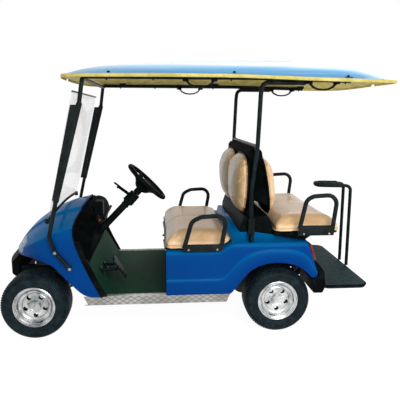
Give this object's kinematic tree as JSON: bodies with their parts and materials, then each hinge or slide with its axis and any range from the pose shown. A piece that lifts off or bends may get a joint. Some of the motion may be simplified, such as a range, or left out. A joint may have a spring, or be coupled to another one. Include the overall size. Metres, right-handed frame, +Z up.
{
  "type": "golf cart",
  "caption": "Four-seat electric golf cart with two back-to-back benches, canopy, windscreen and a rear footrest with a grab bar.",
  "frame": {"origin": "bottom centre of the bounding box, on the ground midway along the cart", "axes": "+X towards the rear of the cart, +Y to its right side, +Z up"},
  "size_m": [2.7799, 1.266, 1.915],
  "materials": {
    "body_blue": "glossy",
    "canopy_white": "glossy",
    "seat_tan": "satin",
    "black_plastic": "matte",
    "black_steel": "satin",
    "floor_green": "matte",
    "step_rubber": "matte",
    "bright_plate": "brushed",
    "wheel_chrome": "polished",
    "tyre": "matte",
    "foam": "matte",
    "screen": "clear",
    "lamp_clear": "clear",
    "lamp_red": "glossy",
    "bare_steel": "machined",
    "spring_steel": "matte",
    "battery_case": "matte"
  },
  "bodies": {
    "chassis": {"front_cowl": "body_blue", "headlamps": "lamp_clear", "front_axle": "spring_steel", "rear_axle": "spring_steel", "drive_motor": "spring_steel", "leaf_springs": "spring_steel", "frame_rails": "black_steel", "cross_members": "black_steel", "step_frame": "black_steel", "battery_pack": "battery_case", "floor_pan": "black_plastic", "floor_mat": "floor_green", "sill_plates": "bright_plate", "front_bumper": "black_plastic", "dash": "black_plastic", "steering_column": "black_plastic", "rear_body": "body_blue", "rear_bumper": "black_plastic", "tail_lamps": "lamp_red", "direction_switch": "black_plastic", "seat_hinges": "black_steel", "rear_cushion": "seat_tan", "rear_seat_pan": "black_plastic", "seat_riser": "black_plastic", "seat_back_shell": "black_plastic", "front_backrests": "seat_tan", "rear_backrests": "seat_tan", "rear_armrests": "foam", "front_roof_frame": "black_steel", "rear_roof_frame": "black_steel", "roof": "canopy_white", "roof_handles": "black_plastic", "windscreen": "screen", "pedals": "black_steel", "footrest": "step_rubber", "grab_bar": "black_steel", "grab_grip": "foam"},
    "steering_wheel": {"steering_wheel": "black_plastic"},
    "tie_rod": {"tie_rod": "bare_steel"},
    "knuckle_left": {"knuckle_left": "spring_steel"},
    "knuckle_right": {"knuckle_right": "spring_steel"},
    "front_seat": {"front_seat_pan": "black_steel", "front_cushion": "seat_tan", "front_armrests": "foam"},
    "wheel_front_left": {"rim_front_left": "wheel_chrome", "tyre_front_left": "tyre"},
    "wheel_front_right": {"rim_front_right": "wheel_chrome", "tyre_front_right": "tyre"},
    "wheel_rear_left": {"rim_rear_left": "wheel_chrome", "tyre_rear_left": "tyre"},
    "wheel_rear_right": {"rim_rear_right": "wheel_chrome", "tyre_rear_right": "tyre"}
  },
  "joints": [
    {"name": "steering_wheel_turn", "type": "hinge", "parent": "chassis", "child": "steering_wheel", "pos_m": [-0.3575, -0.28, 1.04], "axis": [0.6947, 0, 0.7193], "range_deg": [-300, 300]},
    {"name": "steer_left", "type": "hinge", "parent": "chassis", "child": "knuckle_left", "pos_m": [-1.12, -0.345, 0.23], "axis": [0, 0, 1], "range_deg": [-25, 25]},
    {"name": "steer_right", "type": "hinge", "parent": "chassis", "child": "knuckle_right", "pos_m": [-1.12, 0.345, 0.23], "axis": [0, 0, 1], "range_deg": [-25, 25]},
    {"name": "tie_rod_eye", "type": "hinge", "parent": "knuckle_left", "child": "tie_rod", "pos_m": [-1.01, -0.345, 0.151], "axis": [0, 0, 1], "range_deg": [-25, 25]},
    {"name": "front_seat_lid", "type": "hinge", "parent": "chassis", "child": "front_seat", "pos_m": [-0.239, 0, 0.602], "axis": [0, -1, 0], "range_deg": [0, 55]},
    {"name": "wheel_spin_front_left", "type": "hinge", "parent": "knuckle_left", "child": "wheel_front_left", "pos_m": [-1.12, -0.477, 0.23], "axis": [0, 1, 0], "continuous": true},
    {"name": "wheel_spin_front_right", "type": "hinge", "parent": "knuckle_right", "child": "wheel_front_right", "pos_m": [-1.12, 0.477, 0.23], "axis": [0, 1, 0], "continuous": true},
    {"name": "wheel_spin_rear_left", "type": "hinge", "parent": "chassis", "child": "wheel_rear_left", "pos_m": [0.55, -0.477, 0.23], "axis": [0, 1, 0], "continuous": true},
    {"name": "wheel_spin_rear_right", "type": "hinge", "parent": "chassis", "child": "wheel_rear_right", "pos_m": [0.55, 0.477, 0.23], "axis": [0, 1, 0], "continuous": true}
  ],
  "couplings": [
    {"joint": "steer_left", "follows": "steering_wheel_turn", "ratio": 0.083333},
    {"joint": "steer_right", "follows": "steering_wheel_turn", "ratio": 0.083333},
    {"joint": "tie_rod_eye", "follows": "steering_wheel_turn", "ratio": -0.083333}
  ]
}
